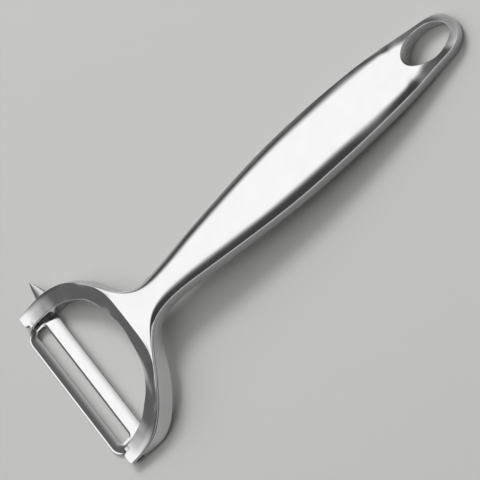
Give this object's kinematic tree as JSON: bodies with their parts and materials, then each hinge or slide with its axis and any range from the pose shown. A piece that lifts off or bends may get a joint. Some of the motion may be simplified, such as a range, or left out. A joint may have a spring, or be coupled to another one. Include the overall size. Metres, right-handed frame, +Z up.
{
  "type": "vegetable peeler",
  "caption": "Y-shaped metal vegetable peeler: crowned two-shell handle with a hanging hole, swivel blade between two arms, eye remover on one arm.",
  "frame": {"origin": "centre of the hanging hole, on the plane that the peeler lies on", "axes": "-Y along the handle towards the yoke and the blade, +Z up out of the crowned front face, the eye remover is on the -X arm"},
  "size_m": [0.0719, 0.1778, 0.017],
  "materials": {
    "polished_shell": "satin polished steel",
    "cast_shell": "polished zinc casting",
    "blade_steel": "ground stainless strip",
    "pin_steel": "drawn wire",
    "bush_nylon": "moulded black nylon"
  },
  "bodies": {
    "frame": {"front_shell": "polished_shell", "back_shell": "cast_shell", "shell_dowels": "pin_steel", "left_pivot_bush": "bush_nylon", "right_pivot_bush": "bush_nylon", "eye_remover": "pin_steel"},
    "blade": {"blade": "blade_steel", "left_pivot_pin": "pin_steel", "right_pivot_pin": "pin_steel"}
  },
  "joints": [
    {"name": "blade_swivel", "type": "hinge", "parent": "frame", "child": "blade", "pos_m": [0, -0.15985, 0.00215], "axis": [1, 0, 0], "range_deg": [-14, 8]}
  ]
}
